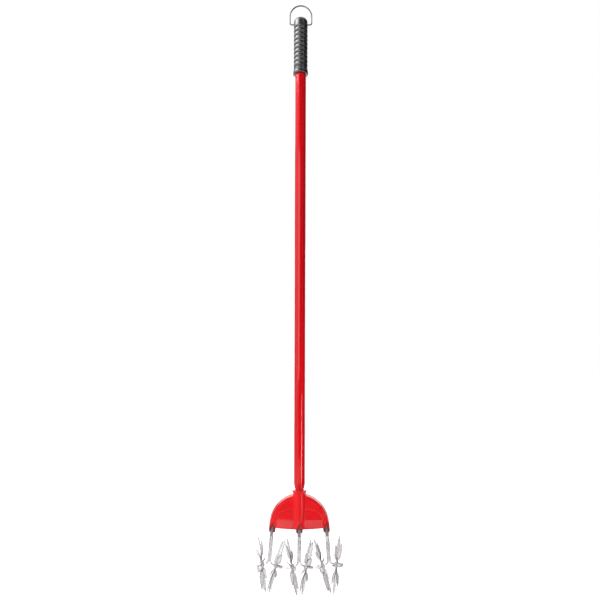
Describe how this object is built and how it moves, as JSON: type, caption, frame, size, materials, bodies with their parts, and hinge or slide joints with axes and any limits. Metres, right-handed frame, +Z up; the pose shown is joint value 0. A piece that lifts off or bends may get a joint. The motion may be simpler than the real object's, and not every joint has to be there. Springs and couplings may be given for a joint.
{
  "type": "rotary tine cultivator",
  "caption": "Long-handled rotary cultivator: grooved grip with a swinging hang ring, steel tube, fan-shaped head, and detachable legs carrying canted serrated star wheels that spin freely.",
  "frame": {"origin": "the point that the tool hangs from: the underside of the middle of the hang ring's bow", "axes": "+Z up along the handle, -Y towards the viewer of the picture, +X to the viewer's right, along the row of wheels"},
  "size_m": [0.2086, 0.1425, 1.3816],
  "materials": {
    "painted_tube": "gloss",
    "plug_plastic": "matt",
    "grip_rubber": "satin",
    "ring_wire": "bright zinc plate",
    "red_moulding": "satin gloss",
    "rivet_steel": "zinc plate",
    "ferrule_plastic": "satin",
    "plated_rod": "bright plate",
    "washer_steel": "zinc plate",
    "cap_steel": "bright plate",
    "star_steel": "galvanised",
    "bush_steel": "zinc plate"
  },
  "bodies": {
    "handle": {"handle_tube": "painted_tube", "tube_end_plug": "plug_plastic", "handle_grip": "grip_rubber", "tine_head": "red_moulding", "neck_rivet": "rivet_steel"},
    "hang_ring": {"hang_ring": "ring_wire"},
    "left_leg": {"left_leg_ferrule": "ferrule_plastic", "left_leg_left_rod": "plated_rod", "left_leg_left_washer": "washer_steel", "left_leg_left_cap": "cap_steel", "left_leg_right_rod": "plated_rod", "left_leg_right_washer": "washer_steel", "left_leg_right_cap": "cap_steel"},
    "left_leg_left_wheel": {"left_leg_left_star": "star_steel", "left_leg_left_bush": "bush_steel"},
    "left_leg_right_wheel": {"left_leg_right_star": "star_steel", "left_leg_right_bush": "bush_steel"},
    "middle_leg": {"middle_leg_ferrule": "ferrule_plastic", "middle_leg_left_rod": "plated_rod", "middle_leg_left_washer": "washer_steel", "middle_leg_left_cap": "cap_steel", "middle_leg_right_rod": "plated_rod", "middle_leg_right_washer": "washer_steel", "middle_leg_right_cap": "cap_steel"},
    "middle_leg_left_wheel": {"middle_leg_left_star": "star_steel", "middle_leg_left_bush": "bush_steel"},
    "middle_leg_right_wheel": {"middle_leg_right_star": "star_steel", "middle_leg_right_bush": "bush_steel"},
    "right_leg": {"right_leg_ferrule": "ferrule_plastic", "right_leg_left_rod": "plated_rod", "right_leg_left_washer": "washer_steel", "right_leg_left_cap": "cap_steel", "right_leg_right_rod": "plated_rod", "right_leg_right_washer": "washer_steel", "right_leg_right_cap": "cap_steel"},
    "right_leg_left_wheel": {"right_leg_left_star": "star_steel", "right_leg_left_bush": "bush_steel"},
    "right_leg_right_wheel": {"right_leg_right_star": "star_steel", "right_leg_right_bush": "bush_steel"}
  },
  "joints": [
    {"name": "ring_swing", "type": "hinge", "parent": "handle", "child": "hang_ring", "pos_m": [0, 0, -0.0435], "axis": [1, 0, 0], "range_deg": [-155, 155]},
    {"name": "left_leg_release", "type": "slide", "parent": "handle", "child": "left_leg", "axis": [-0.0872, 0, -0.9962], "range_m": [0, 0.03]},
    {"name": "left_leg_left_spin", "type": "hinge", "parent": "left_leg", "child": "left_leg_left_wheel", "pos_m": [-0.08793, -0.00223, -1.3128], "axis": [-0.9892, 0.0523, -0.1373], "continuous": true},
    {"name": "left_leg_right_spin", "type": "hinge", "parent": "left_leg", "child": "left_leg_right_wheel", "pos_m": [-0.05453, -0.00223, -1.31572], "axis": [0.9503, 0.0523, -0.3069], "continuous": true},
    {"name": "middle_leg_release", "type": "slide", "parent": "handle", "child": "middle_leg", "axis": [0, 0, -1], "range_m": [0, 0.03]},
    {"name": "middle_leg_left_spin", "type": "hinge", "parent": "middle_leg", "child": "middle_leg_left_wheel", "pos_m": [-0.01676, -0.01423, -1.31458], "axis": [-0.9734, 0.0523, -0.2229], "continuous": true},
    {"name": "middle_leg_right_spin", "type": "hinge", "parent": "middle_leg", "child": "middle_leg_right_wheel", "pos_m": [0.01676, -0.01423, -1.31458], "axis": [0.9734, 0.0523, -0.2229], "continuous": true},
    {"name": "right_leg_release", "type": "slide", "parent": "handle", "child": "right_leg", "axis": [0.0872, 0, -0.9962], "range_m": [0, 0.03]},
    {"name": "right_leg_left_spin", "type": "hinge", "parent": "right_leg", "child": "right_leg_left_wheel", "pos_m": [0.05453, -0.00223, -1.31572], "axis": [-0.9503, 0.0523, -0.3069], "continuous": true},
    {"name": "right_leg_right_spin", "type": "hinge", "parent": "right_leg", "child": "right_leg_right_wheel", "pos_m": [0.08793, -0.00223, -1.3128], "axis": [0.9892, 0.0523, -0.1373], "continuous": true}
  ]
}
